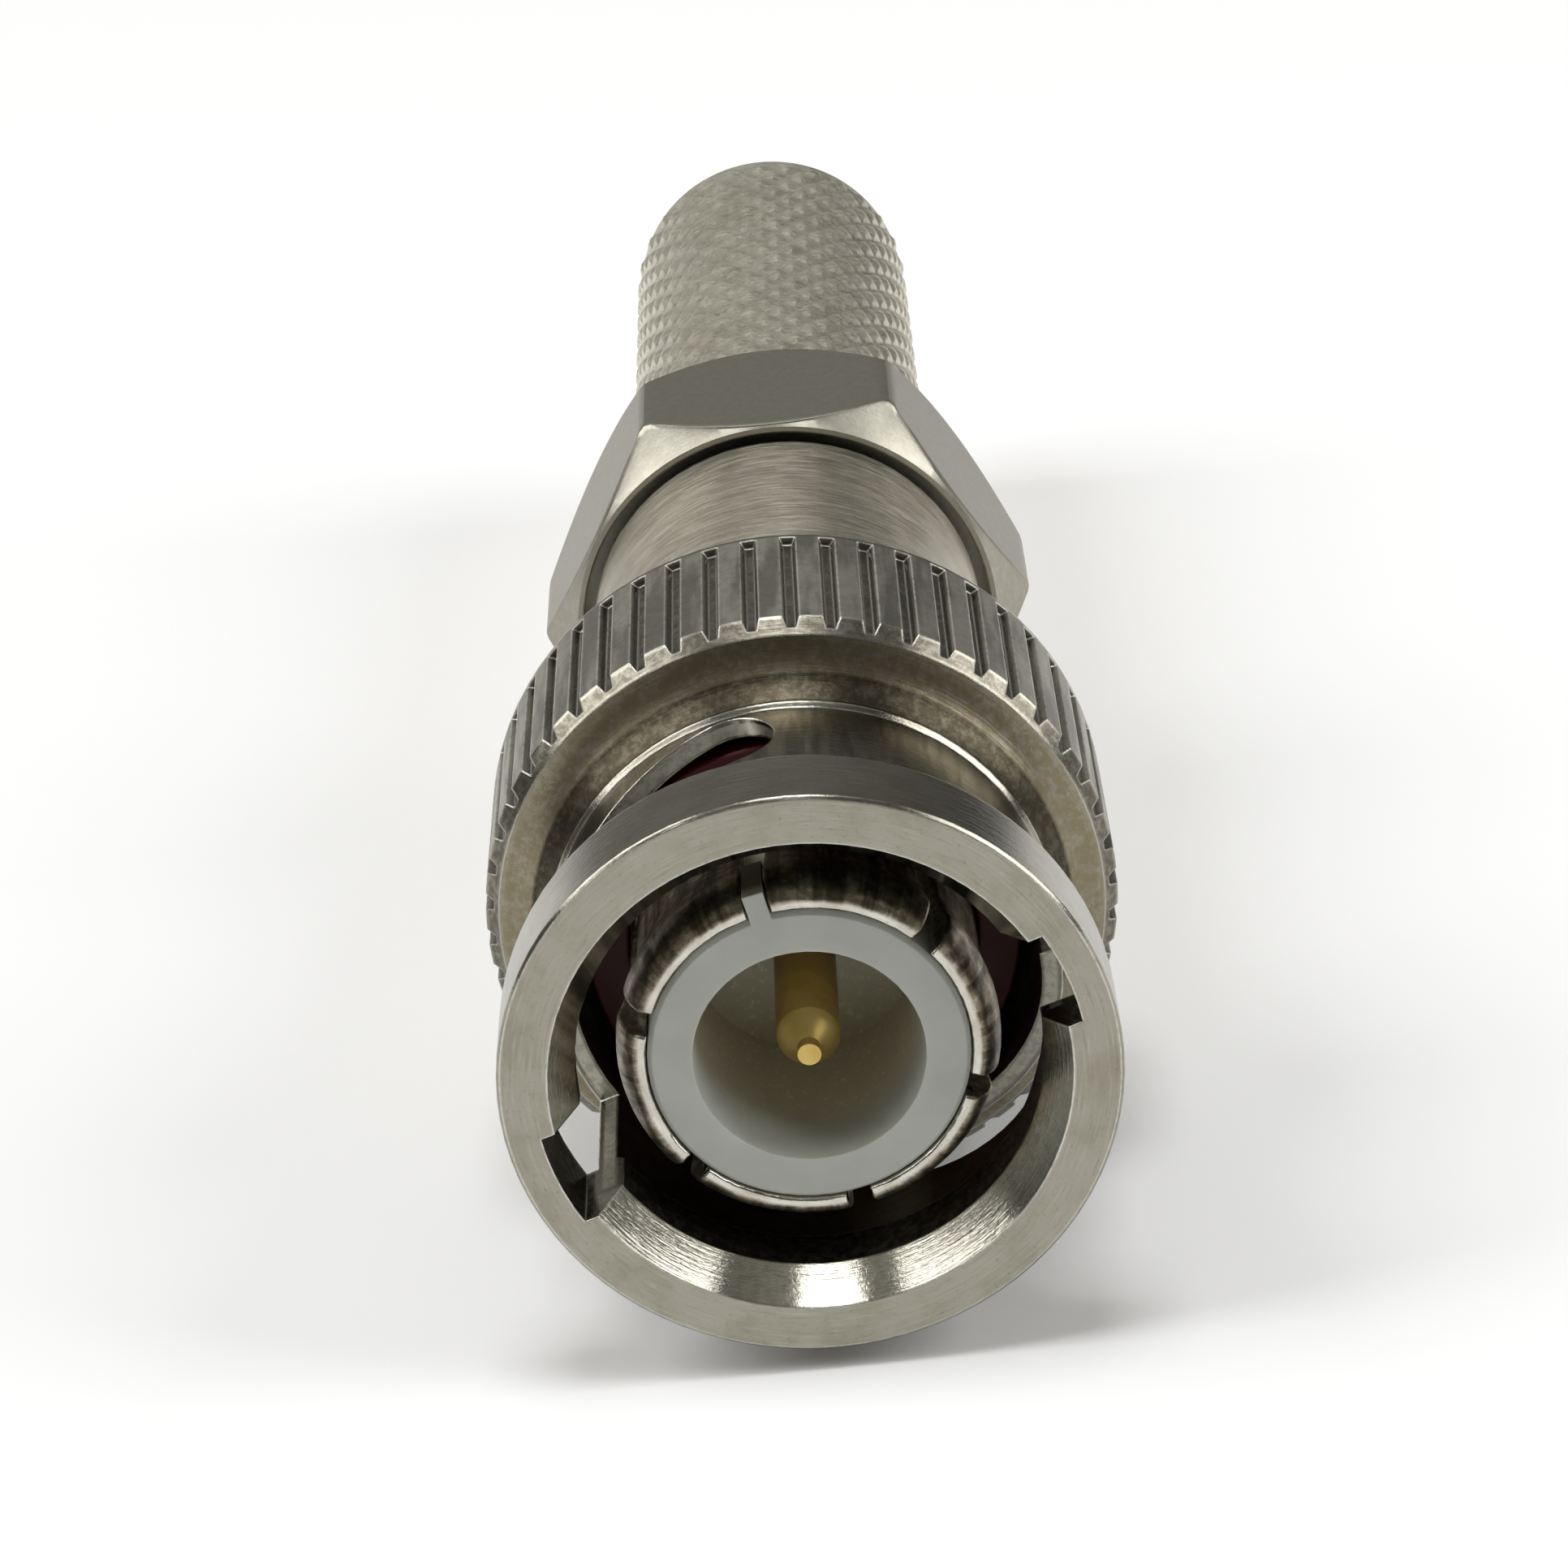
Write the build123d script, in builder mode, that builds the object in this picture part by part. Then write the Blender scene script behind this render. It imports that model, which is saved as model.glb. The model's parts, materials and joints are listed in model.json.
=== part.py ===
from build123d import *
import math
import os

os.makedirs("parts", exist_ok=True)

# A BNC cable plug. Millimetres. The origin is the centre of the coupling nut's front face,
# the axis runs along Y, the mating end faces -Y and the cable end +Y.

# Fits
running = 0.05              # radial gap between parts that turn on each other
seat = 0.025                # radial gap between parts that are pushed together

# Coupling nut, measured from the front face
chamber_radius = 4.9        # takes the jack's barrel
lead_in = 0.55              # how far the front edge opens beyond the chamber
lead_in_length = 0.9
relief = 0.15               # wider bore behind the lip
neck_wall = 0.45            # thin wall behind the lip that the tracks break through
track_depth = 0.85          # reach of the entry grooves beyond the chamber
lip_wall = 0.75             # what is left of the lip outside an entry groove
lip_length = 2.0
lip_break = 0.07
bead_height = 0.1           # fine raised line round the end of the neck
bead_width = 0.2
shoulder_start = 6.8        # where the hollow slope up to the grip begins
shoulder_length = 0.95
shoulder_height = 1.2
hollow_rise = 0.3           # share of the height reached halfway up the slope
hollow_run = 0.55           # share of the length there
grip_chamfer = 0.3
grip_chamfer_length = 0.35
nut_length = 13.05
flange_thickness = 1.6      # rear wall that the thrust washer bears on
edge_break = 0.2
flute_count = 50
flute_depth = 0.2
flute_top = 0.55            # groove width a little outside the grip
flute_bottom = 0.2
flute_stop = 0.5            # plain rim behind the flutes

# Bayonet tracks
track_width = 2.15
track_entry_angle = 198.5   # seen from the front, counter-clockwise from +X
track_sweep = 96.0          # degrees from the entry to the lock
track_lock_y = 5.4
track_rise = 0.035          # travel along Y for each degree
track_entry_end = 5.0

# Spring set in front of the nut's flange
washer_thickness = 0.5
washer_play = 0.05
spring_height = 1.25
spring_thickness = 0.22
ring_thickness = 0.6
ring_gap = 3.2
ring_play = 0.02
ring_setback = 1.5          # from the body's front face to the ring
gasket_thickness = 1.1

# Plug body
body_step = 0.55            # from the neck up to the smooth cylinder
body_length = 11.15         # smooth cylinder behind the nut
nut_gap = 0.1
spigot_step = 0.9

# Outer contact
contact_tip_y = 1.07
contact_gap = 1.12          # room for the jack's barrel outside the contact
contact_wall = 0.36
bulge_height = 0.27
bulge_length = 0.93
slit_count = 6
slit_width = 0.5
slit_angle = 42.0
slit_stop = 1.5             # uncut length in front of the body
shank_length = 4.1
shank_wall = 0.4

# Insulators and pin
socket_wall = 0.95
key_length = 1.5            # key of the insulator in one slit of the contact
key_width = 0.45
key_height = 0.55
pin_radius = 0.675
pin_setback = 0.08
pin_shoulder = 0.55
nub_radius = 0.25
nub_length = 0.3
collar_height = 0.375
collar_length = 0.9
wire_socket_wall = 0.45
wire_socket_bore = 0.5
wire_socket_depth = 5.0
wire_socket_length = 6.6
wire_slit = 0.25
wire_slit_length = 3.5
bushing_length = 5.6
funnel_radius = 2.6
funnel_length = 2.0

# Hexagon and cable tail
recess_gap = 0.25           # dark ring between the body and the hexagon
recess_depth = 0.9
hex_wall = 0.25             # thinnest wall round the recess
hex_length = 5.5
hex_overlap = 0.3           # how far the body reaches into the hexagon
hex_turn = 0.0
hex_front_bevel = 0.9
hex_rear_bevel = 1.7
tail_wall = 1.0
tail_length = 20.3
cable_radius = 2.975
tail_break = 0.25

# Radii that follow
relief_radius = chamber_radius + relief
nut_neck_radius = relief_radius + neck_wall
track_outer_radius = chamber_radius + track_depth
lip_radius = track_outer_radius + lip_wall
lead_in_radius = chamber_radius + lead_in
hollow_radius = nut_neck_radius + hollow_rise * shoulder_height
grip_edge_radius = nut_neck_radius + shoulder_height
grip_radius = grip_edge_radius + grip_chamfer
body_radius = chamber_radius - running
neck_radius = body_radius - body_step
nut_hole = neck_radius + running
groove_radius = neck_radius - 7 * running
gasket_radius = chamber_radius - 3 * running
washer_radius = chamber_radius - 2 * running
contact_radius = chamber_radius - contact_gap
contact_bore = contact_radius - contact_wall
contact_tip_radius = contact_radius - 2 * running
contact_bulge_radius = contact_radius + bulge_height
shank_radius = contact_radius - contact_wall / 2
shank_bore = shank_radius - shank_wall
cavity_radius = shank_radius - 2 * running
spigot_radius = body_radius - spigot_step
insulator_radius = contact_bore - seat
insulator_shank = shank_bore - seat
socket_radius = insulator_radius - socket_wall
collar_radius = pin_radius + collar_height
wire_socket_radius = wire_socket_bore + wire_socket_wall
bushing_radius = cavity_radius - seat
recess_radius = body_radius + recess_gap
hex_apothem = recess_radius + hex_wall
hex_corner = hex_apothem * 2 / math.sqrt(3)
tail_radius = cable_radius + tail_wall

# Stations along the axis that follow, from the front to the cable end
relief_start = lip_length + edge_break
hollow_y = shoulder_start + hollow_run * shoulder_length
grip_start = shoulder_start + shoulder_length
flange_front = nut_length - flange_thickness
washer_end = flange_front - washer_play
washer_start = washer_end - washer_thickness
ring_end = washer_start - spring_height
ring_start = ring_end - ring_thickness
body_front = ring_start - ring_setback
gasket_front = body_front - gasket_thickness
finger_end = body_front - slit_stop
socket_floor = finger_end
contact_step_y = (body_front + finger_end) / 2
shank_end = body_front + shank_length
insulator_end = shank_end + collar_length
collar_end = insulator_end + collar_length
bushing_end = collar_end + bushing_length
pin_tip_y = contact_tip_y + pin_setback
pin_end = collar_end + wire_socket_length
shoulder_y = nut_length + nut_gap
body_end = shoulder_y + body_length
hex_start = body_end - hex_overlap
hex_end = hex_start + hex_length
spigot_end = hex_end - edge_break
tail_end = hex_end + tail_length


# Cutter for one bayonet track: the entry groove, the helix and the round lock end
with BuildPart() as track_cutter:
    track_pitch = track_rise * 360
    track_travel = track_rise * track_sweep
    track_start_y = track_lock_y - track_travel
    with BuildLine() as track_path:
        Helix(track_pitch, track_travel, track_outer_radius, direction=(0, 1, 0))
    start_point = track_path.line @ 0
    start_angle = math.degrees(math.atan2(start_point.Z, start_point.X))
    radial = Vector(start_point.X, 0, start_point.Z).normalized()
    with BuildSketch(Plane(start_point, x_dir=radial, z_dir=track_path.line % 0)):
        Rectangle(4 * track_depth, track_width)
    sweep(path=track_path.line, is_frenet=True)
    end_point = track_path.line @ 1
    end_radial = Vector(end_point.X, 0, end_point.Z).normalized()
    with BuildSketch(Plane(end_point - end_radial * 2 * track_depth, z_dir=end_radial)):
        Circle(track_width / 2)
    extrude(amount=4 * track_depth)

track_helix = track_cutter.part.moved(Location((0, track_start_y, 0)))
track_helix = track_helix.rotate(Axis.Y, start_angle - track_entry_angle)

with BuildPart() as track_pair:
    add(track_helix)
    with BuildSketch(Plane.XZ.offset(edge_break)):
        with PolarLocations(track_outer_radius, 1, start_angle=track_entry_angle):
            Rectangle(4 * track_depth, track_width)
    extrude(amount=-(track_entry_end + edge_break))
    with BuildSketch(Plane.XZ.offset(lip_length)):
        Circle(2 * lip_radius)
        Circle(track_outer_radius, mode=Mode.SUBTRACT)
    extrude(amount=-2 * lip_length, mode=Mode.SUBTRACT)

# Coupling nut
with BuildPart() as coupling_nut:
    with BuildSketch(Plane.XY):
        with BuildLine():
            Polyline(
                (lead_in_radius, 0),
                (lip_radius - lip_break, 0),
                (lip_radius, lip_break),
                (lip_radius, lip_length),
                (nut_neck_radius, lip_length),
                (nut_neck_radius, shoulder_start - bead_width),
                (nut_neck_radius + bead_height, shoulder_start - bead_width + bead_height),
                (nut_neck_radius + bead_height, shoulder_start),
                (nut_neck_radius, shoulder_start),
            )
            ThreePointArc(
                (nut_neck_radius, shoulder_start),
                (hollow_radius, hollow_y),
                (grip_edge_radius, grip_start),
            )
            Polyline(
                (grip_edge_radius, grip_start),
                (grip_radius, grip_start + grip_chamfer_length),
                (grip_radius, nut_length - grip_chamfer_length),
                (grip_edge_radius, nut_length),
                (nut_hole, nut_length),
                (nut_hole, flange_front),
                (relief_radius, flange_front),
                (relief_radius, relief_start),
                (chamber_radius, relief_start - relief),
                (chamber_radius, lead_in_length),
                (lead_in_radius, 0),
            )
        make_face()
    revolve(axis=Axis.Y)
    with BuildSketch(Plane.XZ.offset(-shoulder_start)):
        with PolarLocations(grip_radius, flute_count):
            Polygon(
                (-flute_depth, -flute_bottom / 2),
                (edge_break, -flute_top / 2),
                (edge_break, flute_top / 2),
                (-flute_depth, flute_bottom / 2),
                align=None,
            )
    extrude(amount=-(nut_length - flute_stop - shoulder_start), mode=Mode.SUBTRACT)
    add(track_pair.part, mode=Mode.SUBTRACT)
    add(track_pair.part.rotate(Axis.Y, 180), mode=Mode.SUBTRACT)
coupling_nut.part.label = "coupling_nut"
export_step(coupling_nut.part, "parts/coupling_nut.step")

# Gasket against the body's front face
with BuildPart() as gasket:
    with BuildSketch(Plane.XZ.offset(-gasket_front)):
        Circle(gasket_radius)
        Circle(contact_radius + seat, mode=Mode.SUBTRACT)
    extrude(amount=-gasket_thickness)
gasket.part.label = "gasket"
export_step(gasket.part, "parts/gasket.step")

# Open retaining ring
with BuildPart() as retaining_ring:
    with BuildSketch(Plane.XZ.offset(-ring_start)):
        Circle(gasket_radius)
        Circle(groove_radius + seat, mode=Mode.SUBTRACT)
        with Locations((0, -gasket_radius)):
            Rectangle(ring_gap, gasket_radius, mode=Mode.SUBTRACT)
    extrude(amount=-ring_thickness)
retaining_ring.part.label = "retaining_ring"
export_step(retaining_ring.part, "parts/retaining_ring.step")

# Bowed spring washer: a bent strip trimmed to a ring
with BuildPart() as spring_washer:
    spring_low = ring_end + ring_play
    spring_high = washer_start - ring_play - spring_thickness
    strip_half = washer_radius + running
    with BuildSketch(Plane.XY):
        with BuildLine():
            ThreePointArc((-strip_half, spring_low), (0, spring_high), (strip_half, spring_low))
            Line((strip_half, spring_low), (strip_half, spring_low + spring_thickness))
            ThreePointArc(
                (strip_half, spring_low + spring_thickness),
                (0, spring_high + spring_thickness),
                (-strip_half, spring_low + spring_thickness),
            )
            Line((-strip_half, spring_low + spring_thickness), (-strip_half, spring_low))
        make_face()
    extrude(amount=strip_half, both=True)
    with BuildSketch(Plane.XZ.offset(-ring_end)):
        Circle(washer_radius)
        Circle(neck_radius + running, mode=Mode.SUBTRACT)
    extrude(amount=-spring_height, mode=Mode.INTERSECT)
spring_washer.part.label = "spring_washer"
export_step(spring_washer.part, "parts/spring_washer.step")

# Thrust washer against the nut's flange
with BuildPart() as thrust_washer:
    with BuildSketch(Plane.XZ.offset(-washer_start)):
        Circle(washer_radius)
        Circle(neck_radius + running, mode=Mode.SUBTRACT)
    extrude(amount=-washer_thickness)
thrust_washer.part.label = "thrust_washer"
export_step(thrust_washer.part, "parts/thrust_washer.step")

# Plug body
with BuildPart() as plug_body:
    with BuildSketch(Plane.XY):
        with BuildLine():
            Polyline(
                (shank_radius + seat, body_front),
                (neck_radius, body_front),
                (neck_radius, ring_start - ring_play),
                (groove_radius, ring_start - ring_play),
                (groove_radius, ring_end + ring_play),
                (neck_radius, ring_end + ring_play),
                (neck_radius, shoulder_y),
                (body_radius - edge_break, shoulder_y),
                (body_radius, shoulder_y + edge_break),
                (body_radius, body_end - edge_break),
                (body_radius - edge_break, body_end),
                (spigot_radius, body_end),
                (spigot_radius, spigot_end),
                (shank_bore, spigot_end),
                (shank_bore, body_end),
                (cavity_radius, body_end - hex_overlap),
                (cavity_radius, collar_end),
                (shank_bore, collar_end),
                (shank_bore, shank_end),
                (shank_radius + seat, shank_end),
                (shank_radius + seat, body_front),
            )
        make_face()
    revolve(axis=Axis.Y)
plug_body.part.label = "plug_body"
export_step(plug_body.part, "parts/plug_body.step")

# Slotted outer contact
with BuildPart() as outer_contact:
    with BuildSketch(Plane.XY):
        with BuildLine():
            Line((contact_bore, contact_tip_y), (contact_tip_radius, contact_tip_y))
            ThreePointArc(
                (contact_tip_radius, contact_tip_y),
                (contact_bulge_radius - bulge_height / 4, contact_tip_y + bulge_length / 2),
                (contact_bulge_radius, contact_tip_y + bulge_length),
            )
            Polyline(
                (contact_bulge_radius, contact_tip_y + bulge_length),
                (contact_radius, contact_tip_y + 2.5 * bulge_length),
                (contact_radius, body_front),
                (shank_radius, body_front),
                (shank_radius, shank_end),
                (shank_bore, shank_end),
                (shank_bore, contact_step_y),
                (contact_bore, contact_step_y),
                (contact_bore, contact_tip_y),
            )
        make_face()
    revolve(axis=Axis.Y)
    with BuildSketch(Plane.XZ):
        with PolarLocations(contact_radius, slit_count, start_angle=slit_angle):
            Rectangle(4 * contact_wall, slit_width)
    extrude(amount=-finger_end, mode=Mode.SUBTRACT)
outer_contact.part.label = "outer_contact"
export_step(outer_contact.part, "parts/outer_contact.step")

# Front insulator with the socket round the pin
with BuildPart() as front_insulator:
    with BuildSketch(Plane.XY):
        with BuildLine():
            Polyline(
                (socket_radius, contact_tip_y),
                (insulator_radius - edge_break / 2, contact_tip_y),
                (insulator_radius, contact_tip_y + edge_break / 2),
                (insulator_radius, contact_step_y),
                (insulator_shank, contact_step_y),
                (insulator_shank, insulator_end),
                (pin_radius + seat, insulator_end),
                (pin_radius + seat, socket_floor),
                (socket_radius, socket_floor),
                (socket_radius, contact_tip_y),
            )
        make_face()
    revolve(axis=Axis.Y)
    with BuildSketch(Plane.XZ.offset(-contact_tip_y)):
        with PolarLocations(insulator_radius, 1, start_angle=slit_angle + 360 / slit_count):
            Rectangle(2 * key_height, key_width)
    extrude(amount=-key_length)
front_insulator.part.label = "front_insulator"
export_step(front_insulator.part, "parts/front_insulator.step")

# Rear insulating bushing with the wire funnel
with BuildPart() as rear_insulator:
    with BuildSketch(Plane.XY):
        with BuildLine():
            Polyline(
                (wire_socket_radius + seat, collar_end),
                (bushing_radius, collar_end),
                (bushing_radius, bushing_end),
                (funnel_radius, bushing_end),
                (wire_socket_radius + seat, bushing_end - funnel_length),
                (wire_socket_radius + seat, collar_end),
            )
        make_face()
    revolve(axis=Axis.Y)
rear_insulator.part.label = "rear_insulator"
export_step(rear_insulator.part, "parts/rear_insulator.step")

# Centre pin with its collar and slotted wire socket
with BuildPart() as centre_pin:
    with BuildSketch(Plane.XY):
        with BuildLine():
            Polyline(
                (0, pin_tip_y),
                (nub_radius, pin_tip_y),
                (nub_radius, pin_tip_y + nub_length),
                (pin_radius, pin_tip_y + nub_length + pin_shoulder),
                (pin_radius, insulator_end),
                (collar_radius, insulator_end),
                (collar_radius, collar_end),
                (wire_socket_radius, collar_end),
                (wire_socket_radius, pin_end),
                (wire_socket_bore, pin_end),
                (wire_socket_bore, pin_end - wire_socket_depth),
                (0, pin_end - wire_socket_depth),
                (0, pin_tip_y),
            )
        make_face()
    revolve(axis=Axis.Y)
    with BuildSketch(Plane.XZ.offset(-(pin_end - wire_slit_length))):
        Rectangle(wire_slit, 3 * wire_socket_radius)
    extrude(amount=-2 * wire_slit_length, mode=Mode.SUBTRACT)
centre_pin.part.label = "centre_pin"
export_step(centre_pin.part, "parts/centre_pin.step")

# Hexagon and cable tail in one piece
with BuildPart() as cable_barrel:
    with BuildSketch(Plane.XZ.offset(-hex_start)):
        RegularPolygon(hex_corner, 6, rotation=hex_turn)
    extrude(amount=-(hex_end - hex_start))
    with BuildSketch(Plane.XY):
        with BuildLine():
            Polyline(
                (0, hex_start),
                (hex_apothem - hex_wall / 3, hex_start),
                (hex_corner, hex_start + hex_front_bevel),
                (hex_corner, hex_end - hex_rear_bevel),
                (hex_apothem - hex_wall / 3, hex_end),
                (0, hex_end),
                (0, hex_start),
            )
        make_face()
    revolve(axis=Axis.Y, mode=Mode.INTERSECT)
    with BuildSketch(Plane.XY):
        with BuildLine():
            Polyline(
                (0, spigot_end),
                (tail_radius, spigot_end),
                (tail_radius, tail_end - tail_break),
                (tail_radius - tail_break, tail_end),
                (0, tail_end),
                (0, spigot_end),
            )
        make_face()
    revolve(axis=Axis.Y)
    with BuildSketch(Plane.XY):
        with BuildLine():
            Polyline(
                (0, hex_start - recess_depth),
                (recess_radius, hex_start - recess_depth),
                (recess_radius, hex_start + recess_depth),
                (spigot_radius, hex_start + recess_depth),
                (spigot_radius, spigot_end),
                (cable_radius, spigot_end),
                (cable_radius, tail_end - tail_break),
                (cable_radius + tail_break, tail_end),
                (0, tail_end),
                (0, hex_start - recess_depth),
            )
        make_face()
    revolve(axis=Axis.Y, mode=Mode.SUBTRACT)
cable_barrel.part.label = "cable_barrel"
export_step(cable_barrel.part, "parts/cable_barrel.step")
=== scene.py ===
import json
import math
from collections import namedtuple

import bpy
from mathutils import Matrix, Vector


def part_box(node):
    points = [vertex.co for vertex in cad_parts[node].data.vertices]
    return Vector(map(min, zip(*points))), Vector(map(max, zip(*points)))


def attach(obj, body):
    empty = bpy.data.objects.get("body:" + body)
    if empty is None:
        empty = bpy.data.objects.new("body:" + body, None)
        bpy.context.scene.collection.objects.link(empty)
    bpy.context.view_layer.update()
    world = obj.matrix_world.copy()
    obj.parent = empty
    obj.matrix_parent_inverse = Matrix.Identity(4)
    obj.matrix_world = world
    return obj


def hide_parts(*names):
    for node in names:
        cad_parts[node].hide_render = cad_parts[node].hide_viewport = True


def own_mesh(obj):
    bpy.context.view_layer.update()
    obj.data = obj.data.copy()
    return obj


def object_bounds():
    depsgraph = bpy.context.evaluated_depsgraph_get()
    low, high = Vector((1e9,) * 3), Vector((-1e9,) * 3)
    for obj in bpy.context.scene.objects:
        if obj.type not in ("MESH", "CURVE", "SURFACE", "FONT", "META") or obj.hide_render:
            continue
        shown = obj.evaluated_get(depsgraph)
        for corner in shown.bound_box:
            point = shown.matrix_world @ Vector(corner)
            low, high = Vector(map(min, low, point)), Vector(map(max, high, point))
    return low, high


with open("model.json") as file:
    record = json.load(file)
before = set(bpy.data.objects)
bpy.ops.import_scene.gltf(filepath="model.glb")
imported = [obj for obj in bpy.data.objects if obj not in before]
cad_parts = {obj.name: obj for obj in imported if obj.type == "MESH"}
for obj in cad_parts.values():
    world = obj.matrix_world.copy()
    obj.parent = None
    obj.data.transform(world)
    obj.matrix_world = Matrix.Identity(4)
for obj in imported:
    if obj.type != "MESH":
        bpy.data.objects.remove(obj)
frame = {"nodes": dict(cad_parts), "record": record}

cad_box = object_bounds()

MM = 0.001

# Sizes read from the frame
nut_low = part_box("coupling_nut")[0]
body_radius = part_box("plug_body")[1].x
barrel_low, barrel_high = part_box("cable_barrel")
bore_mount = [m for m in frame["record"]["mounts"] if m["name"] == "cable_bore"][0]
cable_radius = bore_mount["dims"]["r_mm"] * MM
bore_length = bore_mount["dims"]["length_mm"] * MM

# Hexagon of the cable barrel, with the recess round the body in its front
hex_start = barrel_low.y
hex_length = 5.5 * MM
hex_end = hex_start + hex_length
hex_corner = barrel_high.x
hex_apothem = hex_corner * math.sqrt(3) / 2
hex_cone_inset = 0.083 * MM
hex_cone_radius = hex_apothem - hex_cone_inset
hex_front_bevel = 0.9 * MM
hex_rear_bevel = 1.7 * MM
hex_edge = 0.05 * MM
hex_hold = 4 * hex_edge     # a row this far inside each rim keeps the flats flat in shading
cone_hold = 0.1             # share of the bevel at which a row does the same for its cone
recess_gap = 0.25 * MM
recess_radius = body_radius + recess_gap
recess_depth = 0.9 * MM
spigot_step = 0.9 * MM
spigot_radius = body_radius - spigot_step

# Knurled tail of the cable barrel and the thread in its bore
tail_wall = 1.0 * MM
tail_radius = cable_radius + tail_wall
tail_end = barrel_high.y
tail_break = 0.25 * MM
tail_margin = 0.45 * MM
knurl_starts = 30
knurl_samples = 8
knurl_depth = 0.11 * MM
knurl_stretch = 1.75        # diamonds are longer along the axis than round it
knurl_steepness = 1.35      # above 1, the diamonds have flat tops
thread_pitch = 1.27 * MM
thread_depth = 0.22 * MM
thread_samples = 6
thread_steepness = 1.4      # above 1, the thread has flat crests
crease_angle = math.radians(28)

# The barrel's rows are rings of this many points
barrel_columns = knurl_starts * knurl_samples
barrel_angles = [math.tau * column / barrel_columns for column in range(barrel_columns)]

# Edge rounds of the CAD nodes
weld_distance = 0.0005 * MM
round_angle = math.radians(27)
round_segments = 2

# Depths of the finishes
mark_depth = 0.02 * MM
dent_depth = 0.2 * MM
plastic_light_depth = 0.4 * MM

# Places of the finishes and of the painted shade, in millimetres: each pair says where a change begins and
# where it is full
plastic_browning = (0.6, 2.7)       # behind the insulator's front
# painted shade on the insulator's side, in the gap inside the outer contact
plastic_gap_shade_depth = (0.08, 0.5)   # behind the insulator's front
plastic_gap_shade_radius = (3.4, 3.46)
# painted shade on the pin, darker further into the socket
gold_shade_depth = (2.6, 5.5)         # along the axis
wear_and_highlight_cosine = (0.995, 0.93)         # no length: how far a rounded edge has turned from its face

# Colours, linear
# lighter rounded edges: rubbed wear with a painted highlight
worn_edge_highlight = (0.78, 0.765, 0.71, 1)
plastic_pale = (0.44, 0.455, 0.415, 1)
plastic_dim = (0.4, 0.41, 0.37, 1)
plastic_brown = (0.55, 0.52, 0.4, 1)
plastic_specks = (0.72, 0.7, 0.6, 1)
# painted shade in the gap between insulator and contact
plastic_gap_shade = (0.12, 0.09, 0.045, 1)
gold_pale = (0.6, 0.44, 0.15, 1)
gold_dim = (0.5, 0.35, 0.1, 1)
# painted shade for the far end of the pin
gold_shaded = (0.3, 0.2, 0.07, 1)
silicone_dark = (0.06, 0.003, 0.004, 1)
silicone_red = (0.095, 0.005, 0.006, 1)
floor_white = (0.92, 0.92, 0.92, 1)
room_dim = (0.13, 0.125, 0.11, 1)

# Room: the axis along which the colour changes, from where to where on it, and into what
room_shades = (
    ("Y", -0.3, 0.6, (0.27, 0.265, 0.25, 1)),
    ("X", 0.0, 0.5, (0.1, 0.097, 0.09, 1)),
    ("Z", 0.8, 0.97, (0.4, 0.4, 0.385, 1)),
)

# Lamps and floor, in metres and watts
Lamp = namedtuple("Lamp", "name place width height power")
lamps = (
    Lamp("left_lamp", (-0.4, -0.02, 0.38), 0.28, 0.42, 1.8),
    Lamp("right_lamp", (0.47, -0.1, 0.28), 0.28, 0.4, 1.8),
    Lamp("top_lamp", (0.0, -0.02, 0.6), 0.2, 0.2, 1.25),
)
floor_radius = 2.5
floor_sides = 96

# Camera, in millimetres and degrees, found from the rims seen in the photograph
camera_place = (2.61, -88.43, 48.17)
camera_pitch = 25.064
camera_yaw = -1.61
camera_roll = -6.303
camera_focal_px = 6000
camera_near = 5.0
image_px = 1932
sensor_mm = 36.0


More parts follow.
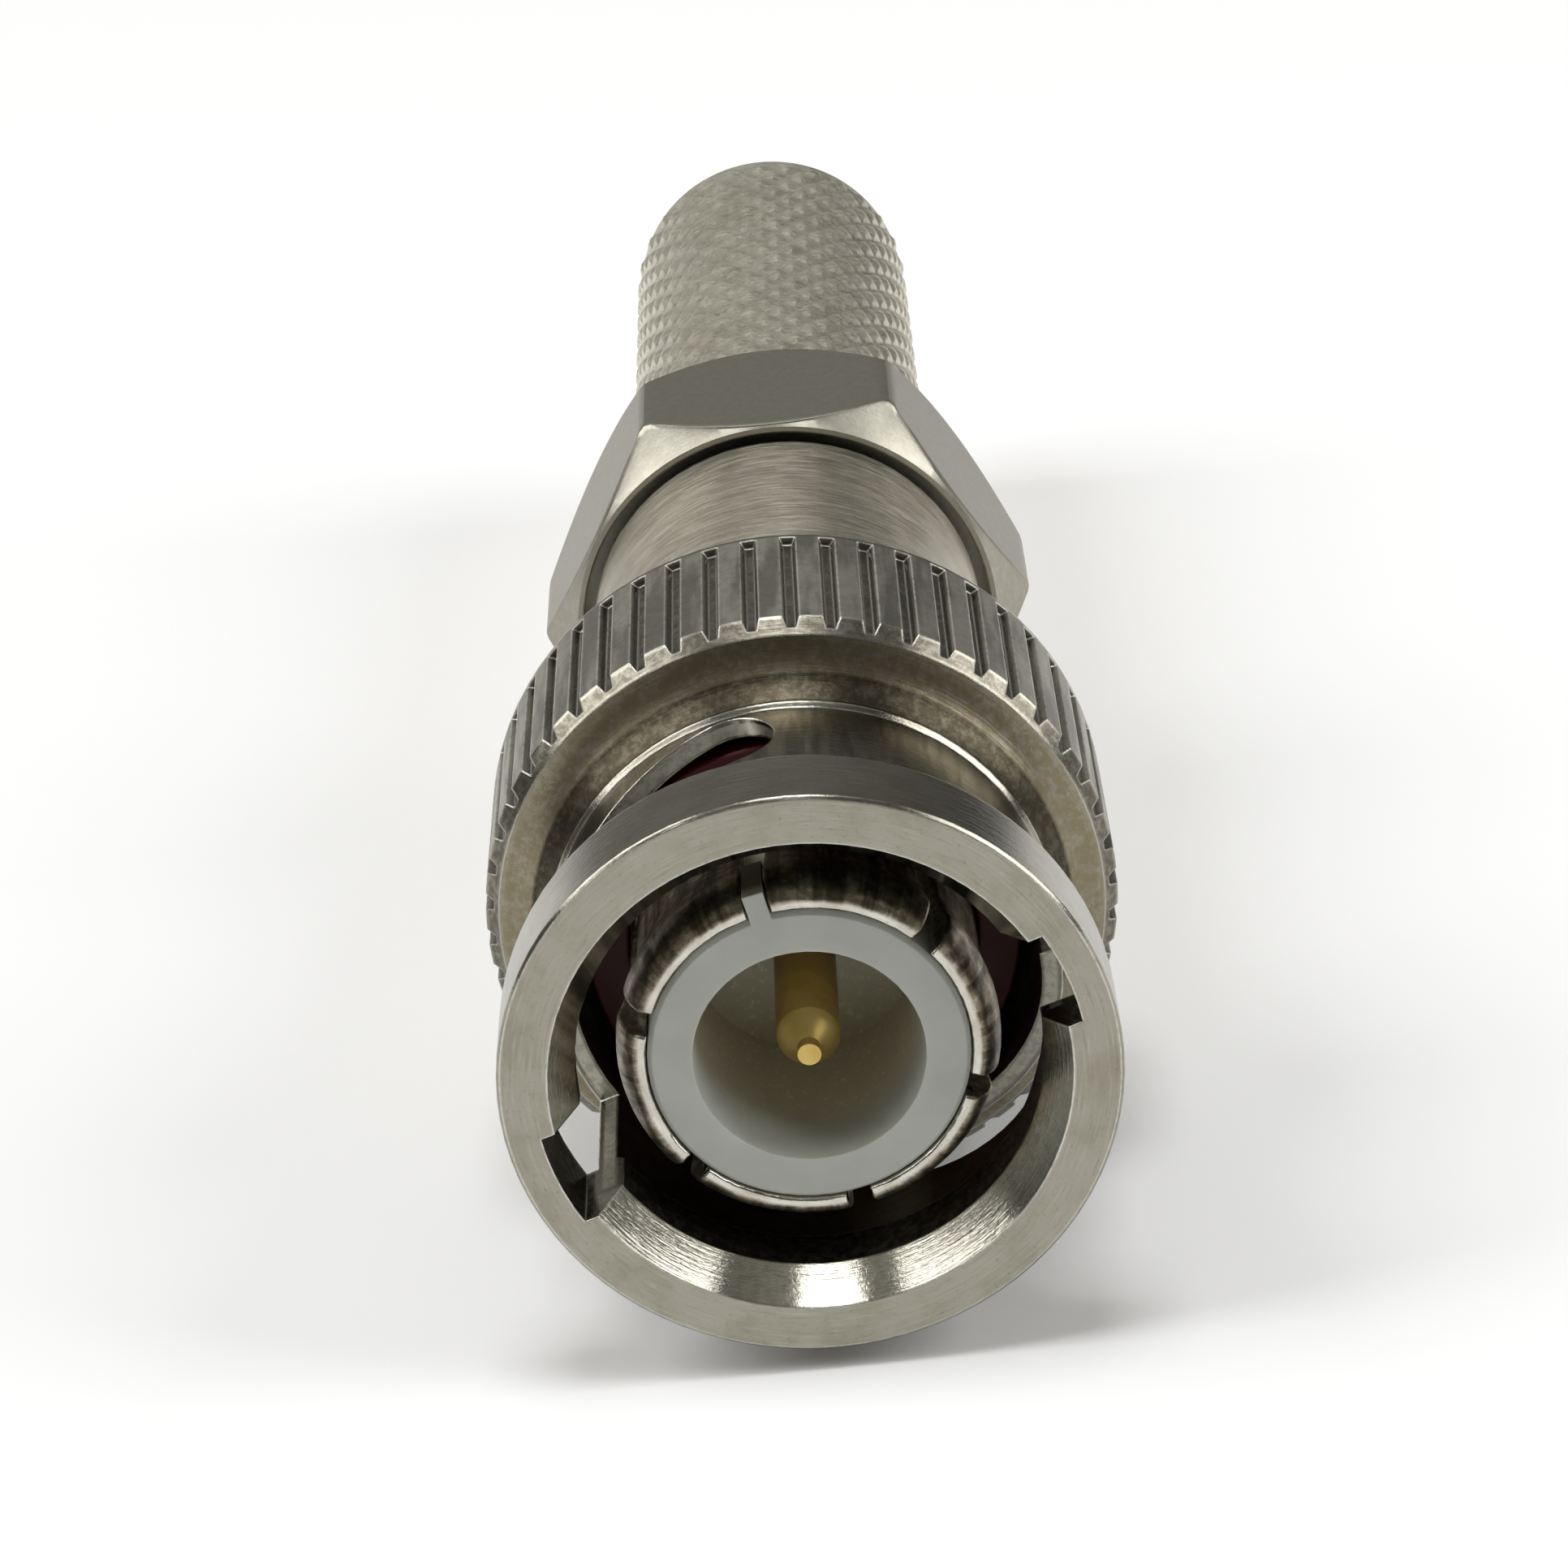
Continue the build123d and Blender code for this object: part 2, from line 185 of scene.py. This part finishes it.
# Node helpers
class Nodes:
    """A node tree whose nodes are added one at a time."""

    def __init__(self, tree):
        self.tree = tree

    def add(self, kind, **settings):
        node = self.tree.nodes.new(kind)
        for key, value in settings.items():
            setattr(node, key, value)
        return node

    def link(self, source, target):
        self.tree.links.new(source, target)

    def feed(self, socket, value):
        if isinstance(value, bpy.types.NodeSocket):
            self.link(value, socket)
        else:
            socket.default_value = value

    def math(self, operation, first, second=0.0):
        node = self.add("ShaderNodeMath", operation=operation)
        self.feed(node.inputs[0], first)
        self.feed(node.inputs[1], second)
        return node.outputs[0]

    def ramp(self, value, low, high, out_low=0.0, out_high=1.0, shape="SMOOTHSTEP"):
        node = self.add("ShaderNodeMapRange", interpolation_type=shape)
        self.feed(node.inputs[0], value)
        for index, number in enumerate((low, high, out_low, out_high)):
            node.inputs[index + 1].default_value = number
        return node.outputs[0]

    def window(self, value, low, high):
        soft = 0.05
        rise = self.ramp(value, low - soft, low + soft)
        fall = self.ramp(value, high + soft, high - soft)
        return self.math("MULTIPLY", rise, fall)

    def blend(self, factor, first, second):
        node = self.add("ShaderNodeMix", data_type="FLOAT")
        self.feed(node.inputs[0], factor)
        self.feed(node.inputs[2], first)
        self.feed(node.inputs[3], second)
        return node.outputs[0]

    def mix(self, factor, first, second):
        node = self.add("ShaderNodeMix", data_type="RGBA")
        self.feed(node.inputs[0], factor)
        self.feed(node.inputs[6], first)
        self.feed(node.inputs[7], second)
        return node.outputs[2]

    def noise(self, vector, scale, detail=2.0, roughness=0.5):
        node = self.add("ShaderNodeTexNoise")
        self.link(vector, node.inputs["Vector"])
        node.inputs["Scale"].default_value = scale
        node.inputs["Detail"].default_value = detail
        node.inputs["Roughness"].default_value = roughness
        return node.outputs["Fac"]

    def bump(self, height, strength, distance, normal=None):
        node = self.add("ShaderNodeBump")
        node.inputs["Strength"].default_value = strength
        node.inputs["Distance"].default_value = distance
        self.link(height, node.inputs["Height"])
        if normal is not None:
            self.link(normal, node.inputs["Normal"])
        return node.outputs["Normal"]

    def split(self, vector):
        node = self.add("ShaderNodeSeparateXYZ")
        self.link(vector, node.inputs[0])
        return node.outputs

    def polar(self):
        """Object coordinates, radius from the axis and place along it, in millimetres, and the angle."""
        coordinates = self.add("ShaderNodeTexCoord").outputs["Object"]
        scaled = self.add("ShaderNodeVectorMath", operation="SCALE")
        self.link(coordinates, scaled.inputs[0])
        scaled.inputs["Scale"].default_value = 1 / MM
        x, y, z = self.split(scaled.outputs[0])
        squares = self.math("ADD", self.math("MULTIPLY", x, x), self.math("MULTIPLY", z, z))
        radius = self.math("SQRT", squares)
        angle = self.math("ARCTAN2", z, x)
        return scaled.outputs[0], radius, y, angle

    def turning(self, radius, along, angle, sweep):
        """Coordinates that run fast across the tool marks and slowly round the axis."""
        join = self.add("ShaderNodeCombineXYZ")
        self.link(radius, join.inputs[0])
        self.link(along, join.inputs[1])
        self.link(self.math("MULTIPLY", angle, sweep), join.inputs[2])
        return join.outputs[0]

    def lengthwise(self, along, angle):
        """Coordinates that run fast round the axis and slowly along it."""
        fast = 12.0
        slow = 0.25
        join = self.add("ShaderNodeCombineXYZ")
        self.link(self.math("MULTIPLY", self.math("COSINE", angle), fast), join.inputs[0])
        self.link(self.math("MULTIPLY", along, slow), join.inputs[1])
        self.link(self.math("MULTIPLY", self.math("SINE", angle), fast), join.inputs[2])
        return join.outputs[0]


class Shader(Nodes):
    """A material with its main shader, whose inputs are set by name."""

    def __init__(self, name):
        self.material = bpy.data.materials.new(name)
        self.material.use_nodes = True
        super().__init__(self.material.node_tree)
        self.bsdf = self.tree.nodes["Principled BSDF"]

    def set(self, **values):
        for key, value in values.items():
            self.feed(self.bsdf.inputs[key.replace("_", " ")], value)


def toned(colour, factor):
    return tuple(min(1, factor * c) for c in colour[:3]) + (1,)


# A band of a piece with its own finish; some bands are painted shade and painted reflection instead. Its
# radii and its places along the axis are in millimetres.
# Its strength is in spots, and is nowhere less than the evenness as a share of it. Its streaks are painted
# reflection streaks.
Zone = namedtuple("Zone", "radii places tint strength roughness streaks evenness", defaults=(0.0, 0.4))


def nickel(name, base, shade, roughness, marks=0.25, brushed=0.0, edge=0.0, dents=0.0, zones=()):
    """Nickel plate with tool marks, tarnish and pits; some of its bands are painted shade and painted
    reflection, with painted reflection streaks, and its worn edges carry a painted highlight.
    """
    s = Shader(name)
    place, radius, along, angle = s.polar()
    lines = s.noise(s.turning(radius, along, angle, sweep=0.35), scale=16.0, detail=3.0, roughness=0.65)
    patches = s.noise(place, scale=0.9, detail=4.0, roughness=0.6)
    grain = s.noise(place, scale=11.0, detail=3.0, roughness=0.7)
    mottle = s.noise(place, scale=4.5, detail=4.0, roughness=0.75)
    colour = s.mix(s.ramp(patches, 0.38, 0.68), base, shade)
    colour = s.mix(s.ramp(grain, 0.56, 0.72, out_high=0.45), colour, toned(shade, 0.45))
    colour = s.mix(s.ramp(lines, 0.5, 0.72, out_high=0.6), colour, toned(base, 1.25))
    colour = s.mix(s.ramp(lines, 0.45, 0.28, out_high=0.5), colour, toned(shade, 0.7))
    gloss = s.ramp(lines, 0.25, 0.8, roughness - 0.06, roughness + 0.1)
    for zone in zones:
        inside = s.math("MULTIPLY", s.window(radius, *zone.radii), s.window(along, *zone.places))
        spots = s.ramp(mottle, 0.36, 0.6, zone.evenness * zone.strength, zone.strength)
        colour = s.mix(s.math("MULTIPLY", inside, spots), colour, zone.tint)
        gloss = s.blend(inside, gloss, zone.roughness)
        # painted reflection streaks: darker streaks along the axis, as a brushed band reflects its
        # surroundings
        if zone.streaks:
            streaks = s.noise(s.lengthwise(along, angle), scale=1.0, detail=3.0, roughness=0.6)
            dark = s.math("MULTIPLY", inside, s.ramp(streaks, 0.4, 0.62, out_high=zone.streaks))
            colour = s.mix(dark, colour, toned(zone.tint, 0.2))
    normal = None
    if edge:
        rounded = s.add("ShaderNodeBevel", samples=6)
        rounded.inputs["Radius"].default_value = edge
        normal = rounded.outputs[0]
        # rounded edges turn a lighter colour in spots: rubbed wear with a painted highlight
        likeness = s.add("ShaderNodeVectorMath", operation="DOT_PRODUCT")
        s.link(normal, likeness.inputs[0])
        s.link(s.add("ShaderNodeNewGeometry").outputs["Normal"], likeness.inputs[1])
        at_edge = s.ramp(likeness.outputs["Value"], *wear_and_highlight_cosine)
        wear_and_highlight = s.math("MULTIPLY", at_edge, s.ramp(mottle, 0.3, 0.55, 0.2, 0.9))
        colour = s.mix(wear_and_highlight, colour, worn_edge_highlight)
    s.set(Base_Color=colour, Roughness=gloss, Metallic=1.0)
    if brushed:
        tangent = s.add("ShaderNodeTangent", direction_type="RADIAL", axis="Y").outputs[0]
        s.set(Anisotropic=brushed, Anisotropic_Rotation=0.25, Tangent=tangent)
    if dents:
        normal = s.bump(s.noise(place, scale=1.8, detail=1.0), dents, dent_depth, normal)
    normal = s.bump(grain, 0.16, mark_depth, normal)
    s.set(Normal=s.bump(lines, marks, mark_depth, normal))
    return s.material


def plastic(name, front):
    """Off-white plastic that lets a little light in, and is browner behind its front, a place in mm, with
    painted shade on its side inside the outer contact.
    """
    s = Shader(name)
    place, radius, along, angle = s.polar()
    depth = s.math("SUBTRACT", along, front)
    cloud = s.noise(place, scale=0.7, detail=3.0)
    lines = s.noise(s.turning(radius, along, angle, sweep=0.3), scale=9.0)
    specks = s.noise(place, scale=9.0, roughness=0.7)
    colour = s.mix(s.ramp(cloud, 0.35, 0.7), plastic_pale, plastic_dim)
    brown = s.mix(s.ramp(specks, 0.58, 0.7), plastic_brown, plastic_specks)
    colour = s.mix(s.ramp(depth, *plastic_browning), colour, brown)
    # painted shade on the insulator's side, set back from its front inside the outer contact
    gap_shade = s.math("MULTIPLY", s.ramp(radius, *plastic_gap_shade_radius), s.ramp(depth, *plastic_gap_shade_depth))
    colour = s.mix(gap_shade, colour, plastic_gap_shade)
    s.set(Base_Color=colour, Roughness=0.42, Normal=s.bump(lines, 0.12, mark_depth))
    s.set(Subsurface_Weight=0.25, Subsurface_Radius=(1.0, 0.9, 0.7), Subsurface_Scale=plastic_light_depth)
    return s.material


def gold_plate(name):
    """Gold with painted shade that darkens it further in."""
    s = Shader(name)
    place, radius, along, angle = s.polar()
    lines = s.noise(s.turning(radius, along, angle, sweep=0.3), scale=18.0, detail=3.0)
    patches = s.noise(place, scale=1.2)
    colour = s.mix(s.ramp(patches, 0.35, 0.7), gold_pale, gold_dim)
    # painted shade: the pin darkens further back in the socket
    colour = s.mix(s.ramp(along, *gold_shade_depth), colour, gold_shaded)
    s.set(Base_Color=colour, Roughness=s.ramp(lines, 0.3, 0.75, 0.36, 0.44), Metallic=1.0)
    return s.material


def silicone(name):
    """Dark red rubber with a fine grain."""
    s = Shader(name)
    place = s.polar()[0]
    cloud = s.noise(place, scale=1.6, detail=3.0)
    grain = s.noise(place, scale=8.0)
    s.set(Base_Color=s.mix(cloud, silicone_dark, silicone_red), Roughness=0.5)
    s.set(Normal=s.bump(grain, 0.15, mark_depth))
    return s.material


# Bands of the coupling nut
shoulder = Zone((5.0, 6.75), (6.85, 7.75), (0.2, 0.168, 0.1, 1), 0.9, 0.32)
# painted dark reflection: the concave hollow behind the neck is tinted nearly black
hollow_dark_reflection = Zone((5.3, 5.97), (6.84, 7.62), (0.04, 0.034, 0.023, 1), 0.95, 0.36, evenness=0.82)
slot_walls = Zone((5.1, 5.38), (1.05, 6.5), (0.62, 0.6, 0.52, 1), 0.95, 0.35)
# the neck's streaks are painted reflection streaks
neck = Zone((5.47, 5.55), (2.05, 6.55), (0.22, 0.205, 0.165, 1), 0.75, 0.14, 0.7)
lead_in = Zone((4.85, 5.5), (0.02, 0.88), (0.45, 0.437, 0.38, 1), 0.8, 0.12)
# painted shade: the floor of the groove inside the bore is tinted nearly black
track_floor_shade = Zone((5.55, 5.82), (0.1, 1.9), (0.045, 0.04, 0.032, 1), 0.95, 0.3)
grip_edge = Zone((6.6, 6.98), (7.78, 8.06), (0.1, 0.09, 0.07, 1), 0.9, 0.3)
# the lands' streaks are painted reflection streaks
grip_lands = Zone((6.9, 7.2), (8.1, 12.6), (0.42, 0.405, 0.355, 1), 0.85, 0.44, 0.55)
# painted shade: the flute floors between the lands are tinted nearly black
flute_floor_shade = Zone((6.0, 6.84), (8.0, 12.6), (0.05, 0.046, 0.036, 1), 0.7, 0.4)
# painted shade: the inside of the nut's chamber is tinted nearly black
nut_chamber_shade = Zone((0.0, 5.03), (0.96, 12.0), (0.03, 0.025, 0.018, 1), 0.85, 0.3)
nut_front_zones = (shoulder, hollow_dark_reflection, slot_walls, neck, lead_in, track_floor_shade)
nut_rear_zones = (grip_edge, grip_lands, flute_floor_shade, nut_chamber_shade)

# Bands of the cable barrel and of the outer contact
hexagon = Zone((3.0, 7.0), (23.0, 29.55), (0.35, 0.335, 0.282, 1), 1.0, 0.42, evenness=0.88)
# the contact's outside: brown, with painted reflection streaks
contact_outside = Zone((3.6, 4.5), (0.9, 9.0), (0.2, 0.155, 0.09, 1), 0.85, 0.42, 0.7)

# Materials
nut_nickel = nickel(
    "nut_nickel", (0.31, 0.297, 0.247, 1), (0.265, 0.249, 0.197, 1), 0.16,
    brushed=0.5, edge=0.07 * MM, zones=nut_front_zones + nut_rear_zones,
)
body_nickel = nickel(
    "body_nickel", (0.55, 0.52, 0.43, 1), (0.46, 0.425, 0.34, 1), 0.38,
    marks=0.45, brushed=0.75,
)
barrel_nickel = nickel(
    "barrel_nickel", (0.72, 0.69, 0.585, 1), (0.6, 0.57, 0.47, 1), 0.46,
    marks=0.1, zones=(hexagon,),
)
contact_nickel = nickel(
    "contact_nickel", (0.6, 0.58, 0.52, 1), (0.46, 0.43, 0.36, 1), 0.16,
    marks=0.2, dents=0.5, zones=(contact_outside,),
)
spring_metal = nickel("spring_metal", (0.42, 0.41, 0.39, 1), (0.32, 0.31, 0.29, 1), 0.35)
white_plastic = plastic("white_plastic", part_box("front_insulator")[0].y / MM)
pin_gold = gold_plate("pin_gold")
red_silicone = silicone("red_silicone")


# CAD nodes that stay: each has a finish and fine edge rounds, which the nut has in its material
def dress(node, material, edge):
    thing = frame["nodes"][node]
    thing.data.materials.clear()
    thing.data.materials.append(material)
    if edge:
        weld = thing.modifiers.new("weld", "WELD")
        weld.merge_threshold = weld_distance
        bevel = thing.modifiers.new("edge", "BEVEL")
        bevel.width = edge
        bevel.segments = round_segments
        bevel.limit_method = "ANGLE"
        bevel.angle_limit = round_angle
        bevel.harden_normals = True
        bevel.use_clamp_overlap = True


dress("coupling_nut", nut_nickel, 0)
dress("plug_body", body_nickel, 0.04 * MM)
dress("outer_contact", contact_nickel, 0.12 * MM)
dress("retaining_ring", spring_metal, 0.03 * MM)
dress("thrust_washer", spring_metal, 0.03 * MM)
dress("gasket", red_silicone, 0.08 * MM)
dress("front_insulator", white_plastic, 0.05 * MM)
dress("rear_insulator", white_plastic, 0.04 * MM)
dress("centre_pin", pin_gold, 0.1 * MM)


# Bowed spring washer, which the nut's slide presses flat against the retaining ring: here a copy of the
# CAD washer as it is, carried by the body
def build_spring_washer():
    node = frame["nodes"]["spring_washer"]
    thing = bpy.data.objects.new("spring_washer_pressed", node.data.copy())
    thing.matrix_world = node.matrix_world
    thing.data.materials.clear()
    thing.data.materials.append(spring_metal)
    bpy.context.scene.collection.objects.link(thing)
    return thing


spring_washer = build_spring_washer()
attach(spring_washer, "body")
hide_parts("spring_washer")
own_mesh(spring_washer)


# Cable barrel with a real knurl and thread. Each row holds a radius and a place along the axis per column.
def hex_radius(angle):
    turn = angle % (math.pi / 3) - math.pi / 6
    return min(hex_apothem / math.cos(turn), hex_corner - hex_edge)


def bevel_step(angle, length):
    return (hex_radius(angle) - hex_cone_radius) * length / (hex_corner - hex_cone_radius)


def knurl_radius(column, row):
    def ridge(number):
        share = number % knurl_samples / knurl_samples
        return 1 - abs(2 * share - 1)

    height = min(1.0, knurl_steepness * min(ridge(column + row), ridge(column - row)))
    return tail_radius - knurl_depth * (1 - height)


def thread_radius(angle, along):
    share = (along / thread_pitch + angle / math.tau) % 1
    return cable_radius + thread_depth * max(0.0, 1 - abs(2 * share - 1) * thread_steepness)


def ring(radius, along):
    return [(radius, along)] * barrel_columns


def recess_rows():
    return [
        ring(spigot_radius, hex_start + recess_depth),
        ring(recess_radius, hex_start + recess_depth),
        ring(recess_radius, hex_start + hex_edge),
        ring(recess_radius + hex_edge, hex_start),
    ]


def hexagon_rows():
    outline = [hex_radius(a) for a in barrel_angles]
    front = [hex_start + bevel_step(a, hex_front_bevel) for a in barrel_angles]
    back = [hex_end - bevel_step(a, hex_rear_bevel) for a in barrel_angles]
    rows = [ring(hex_cone_radius, hex_start)]
    for face, rim, way in ((hex_start, front, 1), (hex_end, back, -1)):
        cone = []
        for radius, along in zip(outline, rim):
            inward = (hex_cone_radius - radius) * cone_hold
            cone.append((radius - hex_edge + inward, along + (face - along) * cone_hold))
        band = [
            cone,
            [(radius - hex_edge / 2, along) for radius, along in zip(outline, rim)],
            [(radius, along + way * hex_edge) for radius, along in zip(outline, rim)],
            [(radius, along + way * hex_hold) for radius, along in zip(outline, rim)],
        ]
        rows.extend(band[::way])
    rows.append(ring(hex_cone_radius, hex_end))
    return rows


def tail_rows():
    root = tail_radius - knurl_depth
    first = hex_end + tail_margin
    last = tail_end - tail_break - tail_margin
    step = knurl_stretch * math.tau * tail_radius / barrel_columns
    count = int((last - first) / step) + 1
    rows = [
        ring(root + hex_edge, hex_end),
        ring(root, hex_end + hex_edge),
        ring(root, first - step),
    ]
    for row in range(count):
        along = first + row * step
        rows.append([(knurl_radius(column, row), along) for column in range(barrel_columns)])
    rows.append(ring(root, first + count * step))
    rows.append(ring(root, tail_end - tail_break))
    rows.append(ring(root - tail_break, tail_end))
    return rows


def bore_rows():
    bore_end = tail_end - tail_break
    bore_start = bore_end - bore_length
    count = int(bore_length / thread_pitch * thread_samples)
    rows = [
        ring(cable_radius + tail_break, tail_end),
        ring(cable_radius, bore_end),
    ]
    for row in range(1, count):
        along = bore_end - bore_length * row / count
        rows.append([(thread_radius(a, along), along) for a in barrel_angles])
    rows.append(ring(cable_radius, bore_start))
    rows.append(ring(spigot_radius, bore_start))
    return rows


def build_cable_barrel():
    rows = recess_rows() + hexagon_rows() + tail_rows() + bore_rows()
    points = []
    for line in rows:
        for angle, (radius, along) in zip(barrel_angles, line):
            points.append((radius * math.cos(angle), along, radius * math.sin(angle)))
    faces = []
    for row in range(len(rows)):
        here = row * barrel_columns
        there = (row + 1) % len(rows) * barrel_columns
        for column in range(barrel_columns):
            after = (column + 1) % barrel_columns
            faces.append((here + column, there + column, there + after, here + after))
    mesh = bpy.data.meshes.new("cable_barrel_finished")
    mesh.from_pydata(points, [], faces)
    mesh.polygons.foreach_set("use_smooth", [True] * len(mesh.polygons))
    mesh.set_sharp_from_angle(angle=crease_angle)
    mesh.materials.append(barrel_nickel)
    mesh.update()
    thing = bpy.data.objects.new("cable_barrel_finished", mesh)
    bpy.context.scene.collection.objects.link(thing)
    return thing


cable_barrel = build_cable_barrel()
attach(cable_barrel, "body")
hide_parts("cable_barrel")


# Floor
def build_floor():
    bpy.ops.mesh.primitive_circle_add(vertices=floor_sides, radius=floor_radius, fill_type="NGON")
    floor = bpy.context.object
    floor.name = "floor"
    floor.location.z = nut_low.z
    s = Shader("floor_white")
    s.set(Base_Color=floor_white, Roughness=1.0, Specular_IOR_Level=0.0)
    floor.data.materials.append(s.material)


build_floor()


# Light: a dim room, two large soft panels at the sides and a smaller one overhead
def build_world():
    world = bpy.data.worlds.new("studio")
    bpy.context.scene.world = world
    world.use_nodes = True
    room = Nodes(world.node_tree)
    background = room.tree.nodes["Background"]
    directions = room.split(room.add("ShaderNodeTexCoord").outputs["Generated"])
    colour = room_dim
    for axis, low, high, other in room_shades:
        colour = room.mix(room.ramp(directions[axis], low, high, shape="LINEAR"), colour, other)
    room.link(colour, background.inputs["Color"])
    background.inputs["Strength"].default_value = 1.0


def area_light(lamp, target):
    data = bpy.data.lights.new(lamp.name, "AREA")
    data.shape = "RECTANGLE"
    data.size = lamp.width
    data.size_y = lamp.height
    data.energy = lamp.power
    thing = bpy.data.objects.new(lamp.name, data)
    thing.location = lamp.place
    thing.rotation_euler = (Vector(target) - Vector(lamp.place)).to_track_quat("-Z", "Y").to_euler()
    bpy.context.scene.collection.objects.link(thing)


build_world()
centre = (cad_box[0] + cad_box[1]) / 2
for lamp in lamps:
    area_light(lamp, centre)


# Camera
def build_camera():
    pitch, yaw, roll = (math.radians(a) for a in (camera_pitch, camera_yaw, camera_roll))
    ahead = Vector((math.sin(yaw) * math.cos(pitch), math.cos(yaw) * math.cos(pitch), -math.sin(pitch)))
    level = Vector((math.cos(yaw), -math.sin(yaw), 0))
    above = level.cross(ahead)
    right = math.cos(roll) * level + math.sin(roll) * above
    up = -math.sin(roll) * level + math.cos(roll) * above
    turn = Matrix((right, up, -ahead)).transposed().to_4x4()
    data = bpy.data.cameras.new("camera")
    data.sensor_width = sensor_mm
    data.lens = sensor_mm * camera_focal_px / image_px
    data.clip_start = camera_near * MM
    camera = bpy.data.objects.new("camera", data)
    camera.matrix_world = Matrix.Translation(Vector(camera_place) * MM) @ turn
    bpy.context.scene.collection.objects.link(camera)
    bpy.context.scene.camera = camera


build_camera()
bpy.context.scene.view_settings.view_transform = "Standard"
